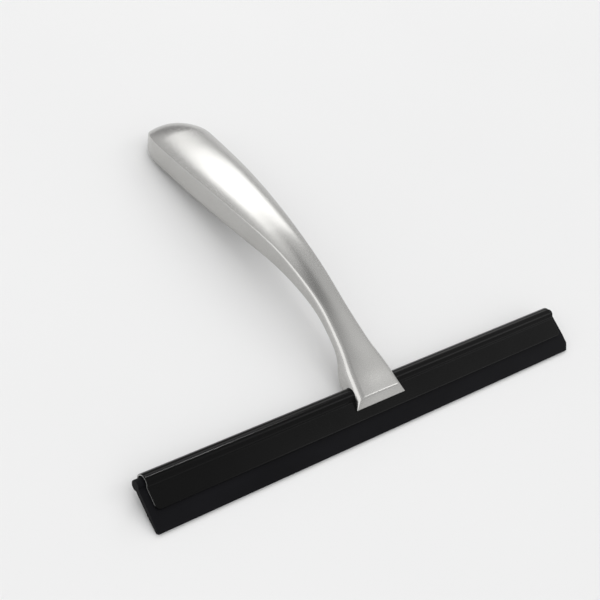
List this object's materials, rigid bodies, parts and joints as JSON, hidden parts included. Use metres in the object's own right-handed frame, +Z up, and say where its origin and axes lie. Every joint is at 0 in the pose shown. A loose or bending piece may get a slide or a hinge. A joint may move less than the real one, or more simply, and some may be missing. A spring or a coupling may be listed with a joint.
{
  "type": "window cleaning squeegee",
  "caption": "Hand squeegee with a curved cast handle and a rubber blade in a folded channel that the handle's saddle clamps.",
  "frame": {"origin": "bottom centre of the bounding box: the middle of the rubber blade's length, on the table that the squeegee lies on", "axes": "+X along the blade, +Y from the blade towards the grip's end, +Z up from the table; the squeegee lies on its back with the front of the handle up"},
  "size_m": [0.2476, 0.1942, 0.0273],
  "materials": {
    "satin_metal": "satin nickel plate, finely brushed",
    "black_paint": "gloss black paint",
    "rubber": "matt black",
    "steel": "plain rolled strip",
    "screw_steel": "plain stainless steel"
  },
  "bodies": {
    "handle": {"handle": "satin_metal"},
    "channel": {"blade_channel": "black_paint"},
    "rubber": {"rubber_blade": "rubber"},
    "clamp": {"pressure_plate": "steel"},
    "screw_left": {"clamp_screw_left": "screw_steel"},
    "screw_right": {"clamp_screw_right": "screw_steel"}
  },
  "joints": [
    {"name": "channel_slide", "type": "slide", "parent": "handle", "child": "channel", "axis": [1, 0, 0], "range_m": [-0.104, 0.104]},
    {"name": "rubber_slide", "type": "slide", "parent": "channel", "child": "rubber", "axis": [1, 0, 0], "range_m": [-0.121, 0.121]},
    {"name": "clamp_slide", "type": "slide", "parent": "handle", "child": "clamp", "axis": [0, 0.3031, -0.953], "range_m": [0, 0.0004]},
    {"name": "screw_left_turn", "type": "hinge", "parent": "clamp", "child": "screw_left", "pos_m": [-0.0087, -0.08175, 0.00237], "axis": [0, 0.3031, -0.953], "range_deg": [0, 290]},
    {"name": "screw_right_turn", "type": "hinge", "parent": "clamp", "child": "screw_right", "pos_m": [0.0063, -0.08175, 0.00237], "axis": [0, 0.3031, -0.953], "range_deg": [0, 290]}
  ],
  "couplings": [
    {"joint": "screw_left_turn", "follows": "clamp_slide", "rad_per_m": 12566},
    {"joint": "screw_right_turn", "follows": "clamp_slide", "rad_per_m": 12566}
  ]
}
